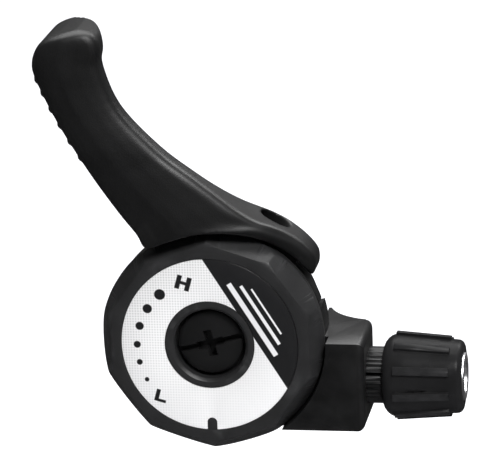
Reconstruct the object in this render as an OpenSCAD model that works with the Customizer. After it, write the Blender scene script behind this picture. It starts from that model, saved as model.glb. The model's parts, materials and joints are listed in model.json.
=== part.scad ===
// Left-hand friction thumb shifter for a bicycle handlebar.
// The origin is the centre of the handlebar clamp. +X runs along the bar, the way the cable
// leaves; the dial faces -Y and +Z is up. Most pieces are drawn about the lever's pivot, in
// "dial" coordinates: x to the right, y up, and depth measured back from the dial's face.

/* [Handlebar clamp] */
// Diameter of the handlebar
bar_d = 22.2; // [22.2:0.1:25.4]
// Width of the clamp ring along the bar
clamp_w = 16; // [12:1:24]
// Wall of the clamp ring
clamp_wall = 3.4; // [2.5:0.1:5]
// Gap between the two clamp lugs
clamp_gap = 2; // [1:0.5:3]
// Thickness of each clamp lug
lug_t = 6.2; // [5.5:0.1:8]
// Diameter of the clamp bolt
clamp_bolt_d = 5; // [4:0.5:6]
// Side of the square clamp nut
clamp_nut_af = 8; // [7:0.5:9]
// Reach of the saddle along the bar on the cable's side
saddle_right = 17.6; // [15:0.2:20]
// Reach of the saddle along the bar on the other side
saddle_left = 13; // [9:0.5:15]

/* [Pivot] */
// Height of the lever's pivot above the middle of the handlebar
pivot_h = 8; // [6:0.5:10]
// Distance from the dial's face back to the front of the handlebar
dial_depth = 18.8; // [17.9:0.1:24.9]
// Diameter of the centre screw
screw_d = 5; // [4:0.5:5]
// Diameter of the centre screw's head
screw_head_d = 10.5; // [9:0.1:10.8]
// Outer diameter of the steel pivot bushing
bushing_d = 10; // [9.5:0.1:10.5]
// Outer diameter of the bearing sleeve in the lever
sleeve_d = 12.4; // [12:0.1:13]
// Diameter of the friction washers
washer_d = 18; // [16:0.5:19]

/* [Dial] */
// Outer diameter of the dial cap
cap_d = 36.2; // [35:0.1:38]
// Depth of the dial cap
cap_h = 5.5; // [5:0.1:6]
// Number of scallops round the cap
facets = 10; // [8:1:14]
// Diameter of the dial label
label_d = 28.6; // [26:0.1:30]
// Diameter of the label's central hole
label_hole_d = 14.6; // [13:0.1:16]
// Thickness of the dial label
label_t = 0.3; // [0.2:0.05:0.5]
// Diameter of the recess round the screw head
recess_d = 11.6; // [11.2:0.1:12.5]

/* [Base] */
// Outer diameter of the fixed wall and of the lever's skirt
body_d = 35.6; // [34:0.1:38]
// Outer diameter of the cup that the hub turns in
cup_d = 32; // [31:0.1:32.2]
// Wall of the cup, and of the fixed wall above it
body_wall = 1.6; // [1.2:0.1:2]
// Thickness of the body's floor
floor_t = 2.5; // [2:0.1:3.5]
// Reach of the cable stop beyond the edge of the dial cap
stop_x = 6.4; // [4.9:0.1:11.9]
// Height of the cable stop
stop_h = 14.7; // [13:0.1:16]

/* [Lever] */
// Travel of the lever between its two stops, in degrees
lever_travel = 110; // [60:5:110]
// Radius at which the cable winds round the lever
cable_r = 7.5; // [7.5:0.05:9]
// Diameter of the gear cable
cable_d = 1.2; // [1.1:0.1:1.6]
// Diameter of the seat for the cable's head
head_seat_d = 4.9; // [4.8:0.1:6]
// Number of grip ribs on the lever's edge
ribs = 6; // [3:1:7]

/* [Cable adjuster] */
// Diameter of the adjuster's thread
adj_thread_d = 5; // [4:0.5:6]
// Diameter of the serrated collar
collar_d = 9.2; // [8.4:0.1:10]
// Length of collar that stands out of the cable stop
collar_out = 3.2; // [2:0.1:5]
// Diameter of the knob where it is widest, without its ribs
knob_d = 13.6; // [12:0.1:16]
// Diameter of the knob at its outer face
knob_end_d = 11.9; // [10.6:0.1:14]
// Length of the knob
knob_len = 13; // [11:0.5:16]
// Number of ribs on the knob
knob_ribs = 10; // [6:1:14]
// Diameter of the bright barrel inside the knob
barrel_d = 7.8; // [7:0.1:8.6]
// Diameter of the socket for the cable housing
socket_d = 5.2; // [5:0.1:6.2]
// Depth of the socket for the cable housing
socket_depth = 8; // [6:0.5:9]

/* [Hidden] */
$fn = 96;

eps = 0.01;
fit = 0.05;             // radial clearance of a running fit
slip = 0.25;            // clearance of a bolt in its hole, and of a nut in its pocket
air = 0.4;              // gap between the lever and what it sweeps past
liner_t = 0.6;          // soft liner between the clamp and the bar

// The stack along the pivot, as depths behind the dial's face.
recess_floor = 3.2;                          // where the screw's head seats
cap_floor = recess_floor + 1.5;
pressure_back = cap_floor + 0.6;
wave_back = pressure_back + 0.7;
keyed_back = wave_back + 0.8;
hub_seat = keyed_back + 0.4;                 // floor of the hub's washer recess
hub_front = cap_h + 0.7;
hub_back = 13.4;
base_floor = hub_back + 0.5;
base_back = base_floor + floor_t;
wall_top = cap_h + air;                      // fixed wall beside the lever's sweep
adj_depth = 9;                               // the cable's plane
cup_top = adj_depth + cable_d / 2 + 0.6;     // rim of the cup, behind the cable and the lever's skirt
skirt_back = cup_top - air;
nut_t = 2.4;
nut_af = 8;
bushing_front = cap_floor + 0.7;
bushing_back = base_back - 0.8;
flat_w = bushing_d - 1.6;                    // across the bushing's two flats

// Middle of the handlebar, behind the dial's face.
bar_r = bar_d / 2;
bar_depth = dial_depth + bar_r;

// Radii about the pivot.
cap_r = cap_d / 2;
body_r = body_d / 2;
cup_r = cup_d / 2;
cavity_r = cup_r - body_wall;
hub_r = cavity_r - air;
flange_r = body_r - body_wall - air;
rim_in_r = cap_r + 0.5;

// The cable leaves along +X, below the pivot and behind the dial.
adj_y = -cable_r;
groove_w = cable_d + 0.8;
groove_r = cable_r - cable_d / 2;
head_angle = 131;                            // where the cable's head leaves the groove
head_seat_from = sqrt(pow(cup_r + 2 * air, 2) - pow(cable_r - head_seat_d / 2, 2));  // clear of the cup

// Angles of the fixed wall and of the lever's skirt, counter-clockwise from +x.
wall_from = -62;
wall_to = 15;
deep_to = -6;                                // where the wall's deep part ends, beside the cable stop
web_t = 1.2;
stop_play = 1.5;
skirt_from = wall_to + stop_play;
skirt_to = wall_from + 360 - lever_travel - stop_play;

// Cable stop block.
stop_end = cap_r + stop_x;
stop_top = adj_y + stop_h / 2;
stop_bottom = adj_y - stop_h / 2;
stop_front = 2;
stop_back = 15;
// the stop starts where the fixed wall does, clear of the skirt at the end of the lever's travel
stop_left = max(6, -stop_bottom / tan(-wall_from) + 0.3);
corner_r = 1.2;
collar_in = 6;
collar_end = stop_end + collar_out;

// Handlebar clamp, drawn about the bar.
ring_in_r = bar_r + liner_t;
ring_r = ring_in_r + clamp_wall;
saddle_back = 24;
saddle_top = 0.6;
wing_t = 1.2;                                // thickness of the saddle's end wing
saddle_low = 3.5;                            // how far the saddle's middle sits below the stop
lug_y = ring_in_r + 8;                       // clamp bolt's distance behind the bar
lug_w = 13;
bolt_head_d = 1.7 * clamp_bolt_d;
bolt_head_h = clamp_bolt_d;
clamp_nut_t = 3.2;
washer_t = 1;

// Adjuster, along its own axis from the pivot's plane.
knob_in = collar_end - 0.8;                  // the collar's end sits inside the knob
knob_bore_r = collar_d / 2 + 0.15;
knob_out = knob_in + knob_len;
barrel_out = knob_out + 0.3;
knob_bore_end = barrel_out - socket_depth - 1.5;  // shoulder that the spring bears on
barrel_in = stop_end - collar_in + 1.5;
spring_wire = 0.5;
spring_turns = 4;

// ---------------------------------------------------------------- shared shapes

// Puts dial coordinates in place on the handlebar.
module at_pivot() translate([0, -bar_depth, pivot_h]) rotate([90, 0, 0]) children();

// Round disc between two depths.
module disc(d0, d1, r) translate([0, 0, -d1]) cylinder(r = r, h = d1 - d0);

// Ring between two depths.
module ring(d0, d1, r_in, r_out) difference() {
    disc(d0, d1, r_out);
    disc(d0 - 1, d1 + 1, r_in);
}

// Sector of a ring, from angle a0 counter-clockwise to a1.
module sector(d0, d1, r_in, r_out, a0, a1)
    translate([0, 0, -d1]) rotate([0, 0, a0]) rotate_extrude(angle = a1 - a0)
        translate([r_in, 0]) square([r_out - r_in, d1 - d0]);

// Box between two corners.
module box(a, b) translate(a) cube(b - a);

// Rod along +X on the adjuster's axis.
module x_rod(x0, x1, r) translate([x0, adj_y, -adj_depth]) rotate([0, 90, 0])
    cylinder(r = r, h = x1 - x0);

// Rod along +Y in dial coordinates, behind the bar.
module bolt_rod(y0, y1, r, sides = 0) translate([0, y0, -bar_depth - lug_y]) rotate([-90, 0, 0])
    cylinder(r = r, h = y1 - y0, $fn = sides > 0 ? sides : $fn);

// Rectangle with round corners, from two opposite corners.
module round_rect(a, b, r) {
    translate([a.x + r, a.y]) square([b.x - a.x - 2 * r, b.y - a.y]);
    translate([a.x, a.y + r]) square([b.x - a.x, b.y - a.y - 2 * r]);
    for (x = [a.x + r, b.x - r], y = [a.y + r, b.y - r]) translate([x, y]) circle(r, $fn = 32);
}

// Hexagon prism across flats af, centred on the pivot.
module hexagon(d0, d1, af) translate([0, 0, -d1]) cylinder(d = af / cos(30), h = d1 - d0, $fn = 6);

// ---------------------------------------------------------------- base

// Plan of the cable stop seen from above: a block that sweeps back into the bar's saddle.
module stop_plan() {
    fillet_r = 9;
    difference() {
        union() {
            translate([stop_left, -stop_back]) square([stop_end - stop_left - corner_r,
                                                       stop_back - stop_front]);
            translate([stop_left, -stop_back + corner_r])
                square([stop_end - stop_left, stop_back - stop_front - 2 * corner_r]);
            for (d = [stop_front + corner_r, stop_back - corner_r])
                translate([stop_end - corner_r, -d]) circle(corner_r, $fn = 32);
            translate([saddle_right - wing_t, -saddle_back])
                square([wing_t, saddle_back - stop_front]);
            translate([saddle_right - eps, -saddle_back + 1.5])
                square([stop_end - corner_r - saddle_right, saddle_back - stop_back]);
        }
        translate([saddle_right + fillet_r - 1.2, -stop_back - fillet_r]) circle(fillet_r);
    }
}

module cable_stop() intersection() {
    translate([0, stop_top, 0]) rotate([90, 0, 0]) linear_extrude(stop_h) stop_plan();
    translate([0, 0, -saddle_back - 1]) linear_extrude(saddle_back)
        round_rect([stop_left - 2, stop_bottom], [stop_end, stop_top], corner_r);
}

// Everything of the base that stands round the bar.
module clamp_body() {
    box([-saddle_left, stop_bottom, -saddle_back],
        [saddle_right, stop_top - saddle_low, -base_floor]);
    box([-clamp_w / 2, stop_bottom, -bar_depth], [clamp_w / 2, saddle_top, -base_floor]);
    translate([-clamp_w / 2, -pivot_h, -bar_depth]) rotate([0, 90, 0])
        cylinder(r = ring_r, h = clamp_w);
    lug_top = -pivot_h + clamp_gap / 2 + lug_t;
    lug_low = -pivot_h - clamp_gap / 2 - lug_t;
    box([-lug_w / 2, lug_low, -bar_depth - lug_y], [lug_w / 2, lug_top, -bar_depth - bar_r + 2]);
    bolt_rod(lug_low, lug_top, lug_w / 2);
}

// The clamp's bore, its split, and the seats of its bolt and nut.
module clamp_cuts() {
    translate([-2 * saddle_left, -pivot_h, -bar_depth]) rotate([0, 90, 0])
        cylinder(r = ring_in_r, h = 2 * saddle_left + 2 * saddle_right);
    box([-clamp_w, -pivot_h - clamp_gap / 2, -bar_depth - lug_y - lug_w],
        [clamp_w, -pivot_h + clamp_gap / 2, -bar_depth]);
    bolt_rod(-pivot_h - 20, -pivot_h + 20, clamp_bolt_d / 2 + slip);
    nut_seat = -pivot_h - clamp_gap / 2 - lug_t;
    half = clamp_nut_af / 2 + slip;
    box([-half, nut_seat - 1, -bar_depth - lug_y - half],
        [half, nut_seat + clamp_nut_t, -bar_depth - lug_y + half]);
}

module base_housing() color("#26272a") at_pivot() difference() {
    union() {
        disc(base_floor, base_back, cup_r);
        disc(cup_top, base_floor + eps, cup_r);
        // fixed wall and its deep part beside the cable stop, hollowed for the cap and the lever
        difference() {
            union() {
                cable_stop();
                sector(wall_top, cup_top + web_t, cavity_r / 2, body_r, wall_from, wall_to);
                sector(cup_top, stop_back, cavity_r / 2, body_r, wall_from, deep_to);
            }
            disc(-1, wall_top, cap_r + 0.35);
            disc(0, cup_top, body_r - body_wall);
        }
        clamp_body();
    }
    clamp_cuts();
    // cavity behind the dial, and the bushing's seat with the nut's pocket behind it
    disc(0, base_floor, cavity_r);
    disc(0, bushing_back, bushing_d / 2);
    disc(0, base_back + 1, screw_d / 2 + slip);
    hexagon(base_back, bar_depth, nut_af + slip);
    // cable hole and the collar's seat
    x_rod(hub_r * 0.7, stop_end, cable_d);
    x_rod(stop_end - collar_in, stop_end + 1, collar_d / 2);
    // notch that keys the dial cap
    cap_key(slip / 2);
}

module clamp_liner() color("#3a3b3d") at_pivot() difference() {
    translate([-clamp_w / 2, -pivot_h, -bar_depth]) rotate([0, 90, 0]) difference() {
        cylinder(r = ring_in_r, h = clamp_w);
        translate([0, 0, -1]) cylinder(r = bar_r, h = clamp_w + 2);
        gap = clamp_gap + 1;
        translate([-bar_r - 4, -gap / 2, -1]) cube([bar_r, gap, clamp_w + 2]);
    }
    hexagon(base_back, base_back + nut_t + eps, nut_af + slip);
}

// ---------------------------------------------------------------- pivot stack

module pivot_bushing() color("#b4b6ba") at_pivot() difference() {
    disc(bushing_front, bushing_back, bushing_d / 2);
    disc(0, base_back, screw_d / 2 + slip / 2);
    for (side = [-1, 1]) box([side > 0 ? flat_w / 2 : -bushing_d, -bushing_d, -hub_seat + 0.4],
                             [side > 0 ? bushing_d : -flat_w / 2, bushing_d, 0]);
}

module pivot_nut() color("#a8aaad") at_pivot() difference() {
    hexagon(base_back, base_back + nut_t, nut_af);
    disc(0, bar_depth, screw_d / 2);
}

module lower_glide_washer() color("#d8d4c6") at_pivot()
    ring(hub_back, base_floor, bushing_d / 2 + slip, hub_r - 1);

module upper_glide_washer() color("#d8d4c6") at_pivot()
    ring(keyed_back, hub_seat, bushing_d / 2 + slip, washer_d / 2);

module keyed_washer() color("#9b9da1") at_pivot() difference() {
    disc(wave_back, keyed_back, washer_d / 2);
    intersection() {
        disc(0, bar_depth, bushing_d / 2 + fit);
        box([-flat_w / 2 - fit, -bushing_d, -bar_depth], [flat_w / 2 + fit, bushing_d, 0]);
    }
}

// Spring washer: a thin ring whose crests touch the washers on each side of it.
module wave_washer() color("#8a8c90") at_pivot() {
    leaf = 0.3;
    ring(pressure_back + 0.2, pressure_back + 0.2 + leaf, bushing_d / 2 + slip, washer_d / 2 - 0.5);
    crest_r = (bushing_d + washer_d) / 4;
    for (k = [0:2]) {
        rotate([0, 0, 120 * k]) translate([crest_r, 0, 0])
            disc(pressure_back, pressure_back + 0.2 + eps, 1.2);
        rotate([0, 0, 120 * k + 60]) translate([crest_r, 0, 0])
            disc(pressure_back + 0.2 + leaf - eps, wave_back, 1.2);
    }
}

module pressure_washer() color("#9b9da1") at_pivot()
    ring(cap_floor, pressure_back, screw_d / 2 + slip, washer_d / 2 - 1);

// ---------------------------------------------------------------- dial

// Cap's outline in radius and height: flat front ring, rounded shoulder, straight skirt.
function cap_profile() = concat(
    [[recess_d / 2, -recess_floor], [recess_d / 2, -0.5], [recess_d / 2 + 0.5, 0]],
    [[label_hole_d / 2 - 0.1, 0], [label_hole_d / 2 - 0.1, -label_t]],
    [[label_d / 2 + 0.1, -label_t], [label_d / 2 + 0.1, 0.05], [cap_r - 1.9, 0]],
    [for (a = [70:-14:0]) [cap_r - 1.9 + 1.9 * cos(a), -3.3 + 3.2 * sin(a)]],
    [[cap_r, -3.6], [cap_r - 0.2, -cap_h], [cap_r - 1.7, -cap_h]],
    [[cap_r - 1.7, -3.6], [cap_r - 3.2, -1.9], [washer_d / 2 + 0.6, -1.9]],
    [[washer_d / 2 + 0.6, -cap_floor], [screw_d / 2 + slip, -cap_floor]],
    [[screw_d / 2 + slip, -recess_floor]]);

// Key under the cap's rim that drops into the fixed wall.
module cap_key(grow = 0)
    sector(cap_h - 1.5, wall_top + 0.7 + grow, body_r - body_wall + 0.3 - grow, body_r - 0.4 + grow,
           -46 - 3 * grow, -38 + 3 * grow);

module dial_cap() color("#242528") at_pivot() {
    cut_in = cap_r - 2.1;              // where a scallop starts on the front ring
    cut_slope = 27.5;                  // how far a scallop leans back
    difference() {
        rotate_extrude() polygon(cap_profile());
        for (k = [0:facets - 1]) rotate([0, 0, k * 360 / facets]) translate([cut_in, 0, 0])
            rotate([0, -cut_slope, 0]) translate([0, -cap_r, -6]) cube([6, cap_d, 12]);
    }
    cap_key();
    sector(cap_h - 1.5, cap_h, min(body_r - body_wall + 0.3, cap_r - 1.5),
           max(body_r - 0.4, cap_r - 0.4), -46, -38);
    label_key(0);
}

// Tab at the bottom of the dial that keeps the label from turning.
module label_key(grow) {
    key_w = 1.4 + 2 * grow;
    key_top = -label_d / 2 + 1.9 + grow;
    translate([0, 0, -label_t - 0.2]) linear_extrude(label_t + 0.2) {
        translate([-key_w / 2, -label_d / 2 - 0.4]) square([key_w, key_top - key_w / 2
                                                            + label_d / 2 + 0.4]);
        translate([0, key_top - key_w / 2]) circle(d = key_w, $fn = 32);
    }
}

module dial_label() color("#f1f1ef") at_pivot() difference() {
    ring(0, label_t, label_hole_d / 2, label_d / 2);
    for (shift = [-0.1, 0.1]) translate([0, 0, shift]) label_key(0.1);
}

// Pan-head screw with a cross recess and a slot.
module centre_screw() color("#1d1d1f") at_pivot() difference() {
    head_top = 0.9;
    union() {
        rotate_extrude() polygon(concat(
            [[0, -recess_floor], [screw_head_d / 2 - 0.3, -recess_floor],
             [screw_head_d / 2, -recess_floor + 0.4]],
            [for (a = [0:10:90]) [screw_head_d / 2 * cos(a), -head_top - 0.8 + 0.8 * sin(a)]]));
        disc(recess_floor - eps, base_back + nut_t, screw_d / 2);
    }
    rotate([0, 0, 14]) {
        cube([screw_head_d + 2, 0.9, 4.6], center = true);
        for (a = [0, 90]) rotate([0, 0, a]) cube([4.4, 1.3, 5.4], center = true);
    }
}

// ---------------------------------------------------------------- lever

// Stations along the lever from its tip round to the tail of the rim. Each one gives the two
// edges of the front face, the heights of the front at the first edge, the ridge and the second
// edge, and the heights of the back at the two edges.
lever_stations = [
    [[-22.6, 50.7], [-19.6, 51.4], -1.2, -1.0, -1.2, -13.0, -11.0],
    [[-24.6, 49.9], [-17.6, 51.1], 0.0, 0.4, -0.2, -14.2, -8.6],
    [[-26.0, 48.7], [-16.4, 50.0], 0.5, 0.9, 0.1, -14.4, -6.4],
    [[-26.9, 46.4], [-15.9, 48.0], 0.6, 1.1, 0.2, -14.2, -5.4],
    [[-26.5, 43.6], [-16.0, 45.2], 0.6, 1.3, 0.2, -13.8, -5.0],
    [[-23.2, 36.3], [-13.4, 38.6], 0.6, 1.4, 0.2, -13.2, -5.0],
    [[-18.6, 28.5], [-7.4, 32.0], 0.7, 1.5, 0.2, -12.8, -5.0],
    [[-14.2, 22.1], [-1.8, 27.5], 0.9, 1.6, 0.1, -12.2, -5.4],
    [[-11.2, 18.3], [1.9, 24.5], 1.1, 1.6, -0.2, -12.0, -6.8],
    [[-9.6, 16.0], [4.9, 22.0], 1.2, 1.5, -0.6, -12.0, -9.2],
    [[-5.2, 17.9], [7.6, 20.1], 1.2, 1.0, -1.4, -12.0, -11.4],
    [[0.0, 18.6], [10.3, 18.8], 0.7, 0.0, -2.6, -12.0, -12.0],
    [[5.0, 17.9], [12.9, 17.1], -1.2, -2.0, -4.0, -12.0, -12.0],
    [[9.5, 16.0], [15.0, 15.3], -3.4, -4.0, -5.0, -12.0, -12.0],
    [[12.6, 13.7], [16.5, 13.2], -4.8, -5.0, -5.5, -12.0, -12.0],
    [[14.6, 11.6], [16.6, 11.2], -5.3, -5.4, -5.8, -12.0, -11.9],
    [[15.6, 10.1], [16.1, 10.0], -6.4, -6.4, -6.6, -11.6, -11.5]];

// Point u of the way from b to c on a smooth curve through a, b, c and d.
function curve(a, b, c, d, u) = 0.5 * (2 * b + (c - a) * u + (2 * a - 5 * b + 4 * c - d) * u * u
                                       + (3 * b - a - 3 * c + d) * u * u * u);
function near(list, i) = list[max(0, min(len(list) - 1, i))];
function station(u) = let (i = floor(u), a = near(lever_stations, i - 1), b = near(lever_stations, i),
                           c = near(lever_stations, i + 1), d = near(lever_stations, i + 2))
    [for (k = [0:6]) curve(a[k], b[k], c[k], d[k], u - i)];

// Cross-section of the lever at a station, as points in space.
function lever_section(s) =
    let (from = s[0], span = s[1] - s[0], w = norm(span), along = span / w,
         soft = min(1.4, w * 0.2), back = min(1.3, w * 0.22), mid = 0.42 * w,
         zl = s[2], zm = s[3], zr = s[4], bl = s[5], br = s[6],
         outline = [[0, bl + back], [0, (zl + bl) / 2], [0, zl - soft], [0.13 * soft, zl - 0.5 * soft],
                    [0.5 * soft, zl - 0.13 * soft], [soft, zl + (zm - zl) * soft / mid],
                    [mid - 0.2 * w, zl + (zm - zl) * 0.66], [mid - 0.08 * w, zm - (zm - zl) * 0.15],
                    [mid, zm], [mid + 0.1 * w, zm - (zm - zr) * 0.13],
                    [mid + 0.3 * w, zm - (zm - zr) * 0.5], [w - soft, zr + 0.12],
                    [w - 0.5 * soft, zr - 0.16 * soft], [w - 0.13 * soft, zr - 0.55 * soft],
                    [w, zr - 1.1 * soft], [w, (zr - 1.1 * soft + br + back) / 2], [w, br + back],
                    [w - 0.29 * back, br + 0.29 * back], [w - back, br],
                    [w / 2, (bl + br) / 2], [back, bl], [0.29 * back, bl + 0.29 * back]])
    [for (p = outline) [from.x + along.x * p.x, from.y + along.y * p.x, p.y]];

module lever_body() {
    steps = 5;
    rings = [for (u = [0 : 1 / steps : len(lever_stations) - 1]) lever_section(station(u))];
    n = len(rings[0]);
    last = len(rings) - 1;
    function middle(ring) = [for (k = [0:2]) [for (p = ring) p[k]] * [for (p = ring) 1] / n];
    tip = n * len(rings);
    polyhedron(
        points = concat([for (r = rings) each r], [middle(rings[0]), middle(rings[last])]),
        faces = concat(
            [for (j = [0:n - 1]) [tip, (j + 1) % n, j]],
            [for (i = [0:last - 1], j = [0:n - 1], side = [0, 1])
                let (a = i * n + j, b = i * n + (j + 1) % n, c = a + n, d = b + n)
                side == 0 ? [a, b, c] : [b, d, c]],
            [for (j = [0:n - 1]) [tip + 1, last * n + j, last * n + (j + 1) % n]]),
        convexity = 6);
}

// Ribs for the thumb on the lever's outer edge.
module grip_ribs() for (k = [0:ribs - 1]) {
    s = station(4.05 + k * 2 / ribs);
    inward = (s[1] - s[0]) / norm(s[1] - s[0]);
    translate([s[0].x + 0.45 * inward.x, s[0].y + 0.45 * inward.y, s[5] + 1.4])
        cylinder(r = 0.85, h = s[2] - s[5] - 2.8, $fn = 24);
}

// Pointer pad at the foot of the lever, beside the dial.
module pointer_pad() translate([0, 0, 0.4]) linear_extrude(1.15)
    polygon([[-9.5, 20.6], [-7.8, 17.6], [-8.4, 16.6], [-9.4, 16.2], [-10.2, 17.4], [-11.3, 19.3]]);

module thumb_lever() color("#2c2d30") at_pivot() difference() {
    union() {
        lever_body();
        grip_ribs();
        pointer_pad();
        disc(hub_front, hub_back, hub_r);
        disc(hub_front, skirt_back, flange_r);
        sector(hub_front, skirt_back, flange_r - 1, body_r, skirt_from, skirt_to);
        sector(hub_front, skirt_back, body_r - 1, rim_in_r + 0.8, 42, 118);
    }
    // room for the cap, then the washer recess, bearing and cable groove
    disc(-4, hub_front, cap_r + 2 * fit);
    disc(0, hub_seat, washer_d / 2 + 0.3);
    disc(0, bar_depth, sleeve_d / 2);
    sector(adj_depth - groove_w / 2, adj_depth + groove_w / 2, groove_r, flange_r + 0.01,
           head_angle - 2, 337);
    // cable hole from the groove out to the seat of the cable's head
    translate([cable_r * cos(head_angle), cable_r * sin(head_angle), -adj_depth])
        rotate([0, 90, head_angle - 90]) {
            translate([0, 0, -1]) cylinder(r = cable_d, h = 30);
            translate([0, 0, head_seat_from]) cylinder(d = head_seat_d, h = 16);
        }
}

module lever_sleeve() color("#e4e1d6") at_pivot()
    ring(hub_seat, hub_back, bushing_d / 2 + fit, sleeve_d / 2);

// ---------------------------------------------------------------- cable adjuster

module adjuster_collar() color("#1b1b1d") at_pivot() difference() {
    serrations = 36;
    tooth = 0.22;
    union() {
        x_rod(stop_end - collar_in, stop_end, collar_d / 2);
        translate([stop_end - eps, adj_y, -adj_depth]) rotate([0, 90, 0]) linear_extrude(collar_out)
            polygon([for (k = [0:2 * serrations - 1])
                let (a = 180 * k / serrations, r = collar_d / 2 - tooth * (k % 2))
                [r * cos(a), r * sin(a)]]);
    }
    x_rod(stop_end - collar_in - 1, collar_end + 1, adj_thread_d / 2);
}

// Coil spring round the barrel, between the collar and the knob.
module adjuster_spring() {
    coil_r = (barrel_d + adj_thread_d) / 4 + 0.25;
    length = knob_bore_end - collar_end - spring_wire;
    steps = 16;
    sides = 6;
    total = spring_turns * steps;
    half_wire = spring_wire / 2;
    function coil_point(i, j) =
        let (turn = 360 * i / steps, r = coil_r + half_wire * cos(360 * j / sides))
        [collar_end + half_wire + length * i / total + half_wire * sin(360 * j / sides),
         adj_y + r * cos(turn), -adj_depth + r * sin(turn)];
    color("#a9abaf") at_pivot() polyhedron(
        points = [for (i = [0:total], j = [0:sides - 1]) coil_point(i, j)],
        faces = concat(
            [[for (j = [0:sides - 1]) j]],
            [for (i = [0:total - 1], j = [0:sides - 1], side = [0, 1])
                let (a = i * sides + j, b = i * sides + (j + 1) % sides, c = a + sides, d = b + sides)
                side == 0 ? [a, c, b] : [b, c, d]],
            [[for (j = [sides - 1:-1:0]) total * sides + j]]),
        convexity = 10);
}

module adjuster_barrel() color("#c9cacc") at_pivot() difference() {
    union() {
        x_rod(barrel_in, knob_bore_end, adj_thread_d / 2 - fit);
        x_rod(knob_bore_end - eps, barrel_out, barrel_d / 2);
    }
    x_rod(barrel_in - 1, barrel_out, cable_d);
    x_rod(barrel_out - socket_depth, barrel_out + 1, socket_d / 2);
}

module adjuster_knob() color("#19191b") at_pivot() difference() {
    shoulder = 2.6;
    end_round = 1;
    union() {
        translate([knob_in, adj_y, -adj_depth]) rotate([0, 90, 0]) rotate_extrude() polygon(concat(
            [[0, 0]],
            [for (a = [-90:15:0]) [knob_d / 2 - shoulder + shoulder * cos(a),
                                   shoulder + shoulder * sin(a)]],
            [for (a = [0:18:90]) [knob_end_d / 2 + end_round * (cos(a) - 1),
                                  knob_len - end_round + end_round * sin(a)]],
            [[0, knob_len]]));
        for (k = [0:knob_ribs - 1]) translate([knob_in, adj_y, -adj_depth])
            rotate([(k + 0.35) * 360 / knob_ribs, 0, 0]) knob_rib(shoulder);
    }
    x_rod(knob_in - 1, knob_bore_end, knob_bore_r);
    x_rod(knob_in, knob_out + 1, barrel_d / 2);
}

// One rib, a bar that follows the knob's taper.
module knob_rib(start) {
    rib_w = 1.3;
    rib_h = 0.45;
    stop = knob_len - 2;
    taper = (knob_d - knob_end_d) / 2 / (knob_len - start);
    rotate([90, 0, 0]) translate([0, 0, -rib_w / 2]) linear_extrude(rib_w) polygon([
        [start - 0.5, knob_d / 2 - 1.2], [start - 0.5, knob_d / 2 + rib_h],
        [stop, knob_d / 2 + rib_h - taper * (stop - start)], [stop, knob_end_d / 2 - 1.2]]);
}

// ---------------------------------------------------------------- clamp hardware

module clamp_bolt() color("#b9bbbe") at_pivot() difference() {
    lug_top = -pivot_h + clamp_gap / 2 + lug_t + washer_t;
    union() {
        bolt_rod(lug_top, lug_top + bolt_head_h, bolt_head_d / 2);
        bolt_rod(-pivot_h - clamp_gap / 2 - lug_t - 0.5, lug_top + eps, clamp_bolt_d / 2);
    }
    bolt_rod(lug_top + bolt_head_h - 2.8, lug_top + bolt_head_h + 1, 0.8 * clamp_bolt_d / 2 / cos(30), 6);
}

module clamp_washer() color("#b9bbbe") at_pivot() difference() {
    lug_top = -pivot_h + clamp_gap / 2 + lug_t;
    bolt_rod(lug_top, lug_top + washer_t, clamp_bolt_d);
    bolt_rod(lug_top - 1, lug_top + washer_t + 1, clamp_bolt_d / 2 + slip);
}

module clamp_nut() color("#a8aaad") at_pivot() difference() {
    nut_seat = -pivot_h - clamp_gap / 2 - lug_t;
    box([-clamp_nut_af / 2, nut_seat, -bar_depth - lug_y - clamp_nut_af / 2],
        [clamp_nut_af / 2, nut_seat + clamp_nut_t, -bar_depth - lug_y + clamp_nut_af / 2]);
    bolt_rod(nut_seat - 1, nut_seat + clamp_nut_t + 1, clamp_bolt_d / 2);
}

base_housing();
clamp_liner();
pivot_bushing();
pivot_nut();
lower_glide_washer();
upper_glide_washer();
keyed_washer();
wave_washer();
pressure_washer();
dial_cap();
dial_label();
centre_screw();
thumb_lever();
lever_sleeve();
adjuster_collar();
adjuster_spring();
adjuster_barrel();
adjuster_knob();
clamp_bolt();
clamp_washer();
clamp_nut();
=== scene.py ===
"""Looks of a bicycle thumb shifter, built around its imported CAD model."""
import json
import math

import bpy
from mathutils import Matrix, Vector

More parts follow.
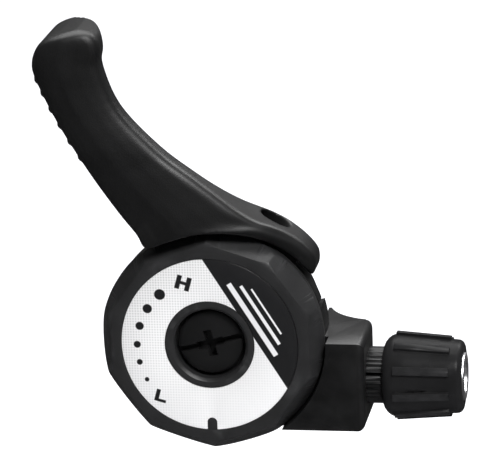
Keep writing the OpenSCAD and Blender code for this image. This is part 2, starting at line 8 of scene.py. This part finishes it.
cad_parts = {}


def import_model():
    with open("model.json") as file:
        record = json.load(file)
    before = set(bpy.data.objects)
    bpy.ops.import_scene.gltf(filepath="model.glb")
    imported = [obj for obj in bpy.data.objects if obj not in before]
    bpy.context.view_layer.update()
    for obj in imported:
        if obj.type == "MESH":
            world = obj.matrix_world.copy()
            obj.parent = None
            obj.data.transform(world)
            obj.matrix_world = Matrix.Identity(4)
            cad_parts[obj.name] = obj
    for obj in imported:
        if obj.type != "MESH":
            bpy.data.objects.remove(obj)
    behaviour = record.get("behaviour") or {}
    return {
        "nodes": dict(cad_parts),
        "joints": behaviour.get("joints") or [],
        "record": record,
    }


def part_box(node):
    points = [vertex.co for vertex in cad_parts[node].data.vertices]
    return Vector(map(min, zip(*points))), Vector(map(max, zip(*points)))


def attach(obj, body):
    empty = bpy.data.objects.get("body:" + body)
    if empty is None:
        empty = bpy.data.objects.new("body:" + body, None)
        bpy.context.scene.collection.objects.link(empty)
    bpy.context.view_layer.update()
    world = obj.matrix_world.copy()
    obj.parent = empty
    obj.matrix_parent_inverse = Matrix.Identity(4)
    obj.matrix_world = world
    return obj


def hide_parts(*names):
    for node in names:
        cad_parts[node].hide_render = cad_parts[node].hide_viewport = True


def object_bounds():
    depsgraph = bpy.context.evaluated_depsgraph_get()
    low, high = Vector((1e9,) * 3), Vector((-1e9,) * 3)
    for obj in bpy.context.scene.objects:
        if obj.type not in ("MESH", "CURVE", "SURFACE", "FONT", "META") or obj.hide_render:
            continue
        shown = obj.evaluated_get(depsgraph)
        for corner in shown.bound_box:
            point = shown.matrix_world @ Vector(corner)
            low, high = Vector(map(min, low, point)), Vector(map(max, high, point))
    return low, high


MM = 0.001

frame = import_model()
cad_box = [list(corner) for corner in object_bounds()]
scene = bpy.context.scene
scene.view_settings.view_transform = "Standard"
nodes = frame["nodes"]

# ---------------------------------------------------------------- places, from the frame

joints = {j["name"]: j for j in frame["joints"]}
lever_pivot = Vector(joints["lever_turn"]["pos_m"])
label_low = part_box("dial_label")[0]
dial = Vector((lever_pivot.x, label_low.y, lever_pivot.z))  # centre of the dial's face


# ---------------------------------------------------------------- node helpers

class Graph:
    """A material's node tree, with short calls for the nodes it uses."""

    def __init__(self, name):
        self.material = bpy.data.materials.new(name)
        self.material.use_nodes = True
        self.tree = self.material.node_tree
        self.shader = self.tree.nodes["Principled BSDF"]
        self.coords = self.tree.nodes.new("ShaderNodeTexCoord").outputs["Object"]

    def link(self, value, socket):
        if isinstance(value, bpy.types.NodeSocket):
            self.tree.links.new(value, socket)
        else:
            socket.default_value = value

    def math(self, operation, a, b=0.0, clamp=False):
        node = self.tree.nodes.new("ShaderNodeMath")
        node.operation, node.use_clamp = operation, clamp
        self.link(a, node.inputs[0])
        self.link(b, node.inputs[1])
        return node.outputs[0]

    def split(self):
        node = self.tree.nodes.new("ShaderNodeSeparateXYZ")
        self.link(self.coords, node.inputs[0])
        return node.outputs

    def noise(self, scale, detail=2.0, vector=None, roughness=0.5):
        node = self.tree.nodes.new("ShaderNodeTexNoise")
        node.inputs["Scale"].default_value = scale
        node.inputs["Detail"].default_value = detail
        node.inputs["Roughness"].default_value = roughness
        self.link(vector or self.coords, node.inputs["Vector"])
        return node.outputs["Fac"]

    def stretch(self, factors):
        node = self.tree.nodes.new("ShaderNodeVectorMath")
        node.operation = "MULTIPLY"
        self.link(self.coords, node.inputs[0])
        node.inputs[1].default_value = factors
        return node.outputs[0]

    def spread(self, value, low, high, from_low=0.3, from_high=0.7):
        node = self.tree.nodes.new("ShaderNodeMapRange")
        self.link(value, node.inputs["Value"])
        ends = {"From Min": from_low, "From Max": from_high, "To Min": low, "To Max": high}
        for name, x in ends.items():
            node.inputs[name].default_value = x
        return node.outputs["Result"]

    def mix(self, factor, a, b):
        node = self.tree.nodes.new("ShaderNodeMix")
        node.data_type = "RGBA"
        self.link(factor, node.inputs[0])
        self.link(a, node.inputs[6])
        self.link(b, node.inputs[7])
        return node.outputs[2]

    def bump(self, height, distance, strength=1.0):
        node = self.tree.nodes.new("ShaderNodeBump")
        node.inputs["Strength"].default_value = strength
        node.inputs["Distance"].default_value = distance
        self.link(height, node.inputs["Height"])
        self.tree.links.new(node.outputs["Normal"], self.shader.inputs["Normal"])

    def edge_wear(self):
        """1 on sharp convex edges, 0 on flats."""
        node = self.tree.nodes.new("ShaderNodeNewGeometry")
        return self.spread(node.outputs["Pointiness"], 0.0, 1.0, 0.52, 0.6)


def grey(level):
    return (level, level, level * 1.03, 1.0)


# ---------------------------------------------------------------- materials

def moulded_plastic(name, level, rough, grain=0.00004, grain_scale=5200, specular=0.5):
    """Black moulded plastic: fine spark-eroded grain, faint handling marks, paler worn edges."""
    g = Graph(name)
    mottle = g.noise(170, 4)
    worn = g.math("MULTIPLY", g.edge_wear(), g.spread(g.noise(420, 3), 0.0, 0.6))
    base = g.mix(g.spread(mottle, 0.0, 1.0), grey(level * 0.85), grey(level * 1.2))
    g.link(g.mix(worn, base, grey(level * 2.6)), g.shader.inputs["Base Color"])
    streaks = g.noise(90, 3, g.stretch((1.0, 1.0, 3.0)))
    g.link(g.spread(streaks, rough - 0.05, rough + 0.06), g.shader.inputs["Roughness"])
    g.shader.inputs["Specular IOR Level"].default_value = specular
    g.bump(g.noise(grain_scale, 3, roughness=0.6), grain, 0.6)
    return g.material


def metal(name, level, rough):
    """Bare or plated metal with fine marks."""
    g = Graph(name)
    marks = g.noise(2600, 4)
    g.shader.inputs["Metallic"].default_value = 1.0
    tint = g.mix(g.spread(g.noise(300, 3), 0, 1), grey(level * 0.9), grey(level))
    g.link(tint, g.shader.inputs["Base Color"])
    g.link(g.spread(marks, rough * 0.75, rough * 1.3), g.shader.inputs["Roughness"])
    g.bump(marks, 0.00001, 0.35)
    return g.material


def acetal(name):
    """Natural acetal: creamy, slightly waxy."""
    g = Graph(name)
    tint = g.mix(g.noise(220, 3), (0.66, 0.63, 0.54, 1), (0.78, 0.76, 0.68, 1))
    g.link(tint, g.shader.inputs["Base Color"])
    g.link(g.spread(g.noise(900, 3), 0.32, 0.45), g.shader.inputs["Roughness"])
    g.bump(g.noise(3000, 2), 0.00001, 0.3)
    return g.material


def printed_label(name):
    """White film with a fine printed screen, a black diagonal zone, plain stripes and the dial's dots."""
    g = Graph(name)
    x_out, _, z_out = g.split()
    x = g.math("MULTIPLY", g.math("SUBTRACT", x_out, dial.x), 1 / MM)
    y = g.math("MULTIPLY", g.math("SUBTRACT", z_out, dial.z), 1 / MM)

    def along(degrees):
        a = math.radians(degrees)
        return g.math("ADD", g.math("MULTIPLY", x, math.cos(a)), g.math("MULTIPLY", y, math.sin(a)))

    def inside(value, limit):
        """1 where value is below limit, with a soft printed edge."""
        return g.math("MULTIPLY", g.math("SUBTRACT", limit, value), 14.0, clamp=True)

    def both(a, b):
        return g.math("MULTIPLY", a, b)

    def either(a, b):
        return g.math("MAXIMUM", a, b)

    def distance(cx, cy):
        dx, dy = g.math("SUBTRACT", x, cx), g.math("SUBTRACT", y, cy)
        return g.math("SQRT", g.math("ADD", g.math("MULTIPLY", dx, dx), g.math("MULTIPLY", dy, dy)))

    def bar(cx, cy, turn, length, width):
        """A printed bar centred on a point, turned anticlockwise from +x."""
        a = math.radians(turn)
        dx, dy = g.math("SUBTRACT", x, cx), g.math("SUBTRACT", y, cy)
        u = g.math("ADD", g.math("MULTIPLY", dx, math.cos(a)), g.math("MULTIPLY", dy, math.sin(a)))
        v = g.math("SUBTRACT", g.math("MULTIPLY", dy, math.cos(a)), g.math("MULTIPLY", dx, math.sin(a)))
        return both(inside(g.math("ABSOLUTE", u), length / 2), inside(g.math("ABSOLUTE", v), width / 2))

    # black zone to the right of a slanted edge, with plain white stripes along it
    across, up = along(ZONE_TURN), along(ZONE_TURN + 90)
    zone = g.math("MULTIPLY", g.math("SUBTRACT", across, ZONE_EDGE), 14.0, clamp=True)
    ink = zone
    stripes = 0.0
    for k, (offset, half) in enumerate(ZONE_STRIPES):
        line = inside(g.math("ABSOLUTE", g.math("SUBTRACT", across, ZONE_EDGE + offset)), half)
        line = both(line, inside(g.math("ABSOLUTE", up), STRIPE_REACH - k * 1.3))
        stripes = either(stripes, line)

    # dots that shrink from high to low
    for k, (turn, size) in enumerate(zip(DOT_TURNS, DOT_SIZES)):
        r = DOT_R + (DOT_R_END - DOT_R) * k / (len(DOT_TURNS) - 1)
        a = math.radians(turn)
        ink = either(ink, inside(distance(r * math.cos(a), r * math.sin(a)), size / 2))

    # the letters for high and low, made of bars
    for letter, (cx, cy), height, bars in LETTERS:
        for bx, by, turn, length, width in bars:
            a = math.radians(LETTER_TURN)
            px = cx + height * (bx * math.cos(a) - by * math.sin(a))
            py = cy + height * (bx * math.sin(a) + by * math.cos(a))
            ink = either(ink, bar(px, py, turn + LETTER_TURN, length * height, width * height))

    # printed screen of fine dots, denser towards the top left
    cell = 2 * math.pi / SCREEN_PITCH
    lattice = g.math("MULTIPLY", g.math("SINE", g.math("MULTIPLY", along(45), cell)),
                     g.math("SINE", g.math("MULTIPLY", along(135), cell)))
    density = g.spread(along(125), 0.10, 0.75, -16.0, 16.0)
    screen = g.math("MULTIPLY", g.math("MULTIPLY", g.math("ADD", lattice, 0.1), 2.0, clamp=True), density)
    paper = g.mix(screen, (0.87, 0.87, 0.865, 1), (0.56, 0.56, 0.56, 1))
    printed = g.mix(ink, paper, (0.012, 0.012, 0.013, 1))
    g.link(g.mix(stripes, printed, (0.8, 0.8, 0.8, 1)), g.shader.inputs["Base Color"])
    g.link(g.spread(g.noise(400, 3), 0.28, 0.4), g.shader.inputs["Roughness"])
    g.bump(g.noise(2500, 2), 0.000005, 0.25)
    return g.material


ZONE_TURN, ZONE_EDGE = 31.5, 6.84
ZONE_STRIPES = [(1.5, 0.45), (3.0, 0.3), (4.2, 0.18)]
STRIPE_REACH = 7.0
DOT_TURNS = [133, 149, 165, 180.5, 195, 210]
DOT_SIZES = [1.87, 1.6, 1.43, 1.23, 1.04, 0.83]
DOT_R, DOT_R_END = 11.4, 12.0
LETTER_TURN = -16
# each bar: centre, turn, length and width, as shares of the letter's height
LETTERS = [
    ("H", (-3.9, 10.3), 2.4, [(-0.34, 0, 90, 1, 0.36), (0.34, 0, 90, 1, 0.36), (0, 0, 0, 0.7, 0.26)]),
    ("L", (-8.3, -8.75), 2.1, [(-0.24, 0, 90, 1, 0.36), (0.08, -0.37, 0, 0.9, 0.27)]),
]
SCREEN_PITCH = 0.62

MATERIALS = {
    "base_plastic": moulded_plastic("base_plastic", 0.006, 0.4, specular=0.42),
    "lever_plastic": moulded_plastic("lever_plastic", 0.007, 0.4, specular=0.4),
    "cap_plastic": moulded_plastic("cap_plastic", 0.02, 0.4, specular=0.34),
    "knob_plastic": moulded_plastic("knob_plastic", 0.013, 0.3, grain=0.00002, specular=0.05),
    "liner_rubber": moulded_plastic("liner_rubber", 0.03, 0.8, grain_scale=3000, specular=0.3),
    "label_film": printed_label("label_film"),
    "acetal": acetal("acetal"),
    "steel": metal("steel", 0.6, 0.32),
    "black_steel": moulded_plastic("black_steel", 0.009, 0.34, grain=0.00001, specular=0.22),
    "chrome": metal("chrome", 0.86, 0.34),
}


# ---------------------------------------------------------------- CAD nodes: materials and soft edges

def finish_node(name, material, edge):
    obj = nodes[name]
    obj.data.materials.clear()
    obj.data.materials.append(MATERIALS[material])
    for polygon in obj.data.polygons:
        polygon.use_smooth = True
    if edge:
        weld = obj.modifiers.new("weld", "WELD")
        weld.merge_threshold = 0.002 * MM
        bevel = obj.modifiers.new("edges", "BEVEL")
        bevel.width = edge * MM
        bevel.segments = 2
        bevel.limit_method = "ANGLE"
        bevel.angle_limit = math.radians(32)
        bevel.use_clamp_overlap = True
        bevel.harden_normals = True


# widths of the rounded edges, in mm; the rest have EDGE
EDGE = 0.06
EDGES = {"base_housing": 0.25, "dial_cap": 0.22, "adjuster_knob": 0.15, "adjuster_barrel": 0.2,
         "centre_screw": 0.12, "clamp_bolt": 0.15}
for part in frame["record"]["subparts"]:
    finish_node(part["node"], part["material_slot"], EDGES.get(part["node"], EDGE))


# ---------------------------------------------------------------- lever

def smooth_lever():
    """The lever's moulded skin: its CAD solid remeshed finely and relaxed, so that facets go."""
    source = nodes["thumb_lever"]
    mesh = source.data.copy()
    lever = bpy.data.objects.new("lever_moulding", mesh)
    scene.collection.objects.link(lever)
    remesh = lever.modifiers.new("remesh", "REMESH")
    remesh.mode = "VOXEL"
    remesh.voxel_size = LEVER_VOXEL * MM
    relax = lever.modifiers.new("relax", "CORRECTIVE_SMOOTH")
    relax.factor, relax.iterations, relax.use_only_smooth = 0.5, LEVER_RELAX, True
    bpy.context.view_layer.update()
    evaluated = lever.evaluated_get(bpy.context.evaluated_depsgraph_get())
    lever.data = bpy.data.meshes.new_from_object(evaluated)
    lever.modifiers.clear()
    lever.data.materials.clear()
    lever.data.materials.append(MATERIALS["lever_plastic"])
    for polygon in lever.data.polygons:
        polygon.use_smooth = True
    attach(lever, "lever")
    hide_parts("thumb_lever")
    return lever


LEVER_VOXEL, LEVER_RELAX = 0.22, 6
smooth_lever()


# ---------------------------------------------------------------- floor, lights and camera

FLOOR_SIZE, FLOOR_DROP = 4.0, 0.12


def plain(name, level, rough):
    material = bpy.data.materials.new(name)
    material.use_nodes = True
    shader = material.node_tree.nodes["Principled BSDF"]
    shader.inputs["Base Color"].default_value = grey(level)
    shader.inputs["Roughness"].default_value = rough
    return material


def floor():
    """A white floor, well below the part."""
    half = FLOOR_SIZE / 2
    z = cad_box[0][2] - FLOOR_DROP
    mesh = bpy.data.meshes.new("floor")
    corners = [(-half, -half, z), (half, -half, z), (half, half, z), (-half, half, z)]
    mesh.from_pydata(corners, [], [(0, 1, 2, 3)])
    obj = bpy.data.objects.new("floor", mesh)
    mesh.materials.append(plain("floor", 0.96, 0.9))
    scene.collection.objects.link(obj)
    obj.visible_glossy = False  # black parts would mirror the white floor


def area_light(name, place, power, size):
    light = bpy.data.lights.new(name, "AREA")
    light.energy, light.size = power, size
    obj = bpy.data.objects.new(name, light)
    obj.location = dial + Vector(place)
    obj.rotation_euler = (dial - obj.location).to_track_quat("-Z", "Y").to_euler()
    scene.collection.objects.link(obj)


# azimuth, elevation and roll in degrees; what it aims at, in mm right of and above the dial
CAMERA_ANGLES = (9.7, 16.3, 2.0)
CAMERA_AIM = (6.5, 19.2)
CAMERA_DISTANCE, CAMERA_LENS = 0.6, 270


def camera():
    """Looks at the dial from slightly above and to the right, as the object is usually shown."""
    azimuth, elevation, roll = (math.radians(a) for a in CAMERA_ANGLES)
    back = Vector((math.sin(azimuth) * math.cos(elevation), -math.cos(azimuth) * math.cos(elevation),
                   math.sin(elevation)))
    right = Vector((math.cos(azimuth), math.sin(azimuth), 0.0))
    up = back.cross(right)
    rolled_right = right * math.cos(roll) - up * math.sin(roll)
    rolled_up = right * math.sin(roll) + up * math.cos(roll)
    aim = dial + rolled_right * CAMERA_AIM[0] * MM + rolled_up * CAMERA_AIM[1] * MM
    data = bpy.data.cameras.new("camera")
    data.lens, data.sensor_width, data.clip_start = CAMERA_LENS, 36, 0.01
    obj = bpy.data.objects.new("camera", data)
    obj.location = aim + back * CAMERA_DISTANCE
    obj.rotation_euler = Matrix((rolled_right, rolled_up, back)).transposed().to_euler()
    scene.collection.objects.link(obj)
    scene.camera = obj


def world():
    surroundings = bpy.data.worlds.new("studio")
    surroundings.use_nodes = True
    background = surroundings.node_tree.nodes["Background"]
    background.inputs["Color"].default_value = (1, 1, 1, 1)
    background.inputs["Strength"].default_value = 0.055
    scene.world = surroundings


# each light: name, place from the dial, power in watts and side of its square, in metres
LIGHTS = [
    ("overhead", (0.0, 0.55, 1.3), 33.0, 1.5),
    ("key", (0.26, -0.36, 0.5), 4.1, 0.2),
    ("rim", (0.3, 0.45, 0.4), 0.9, 0.25),
]

floor()
world()
for light in LIGHTS:
    area_light(*light)
camera()
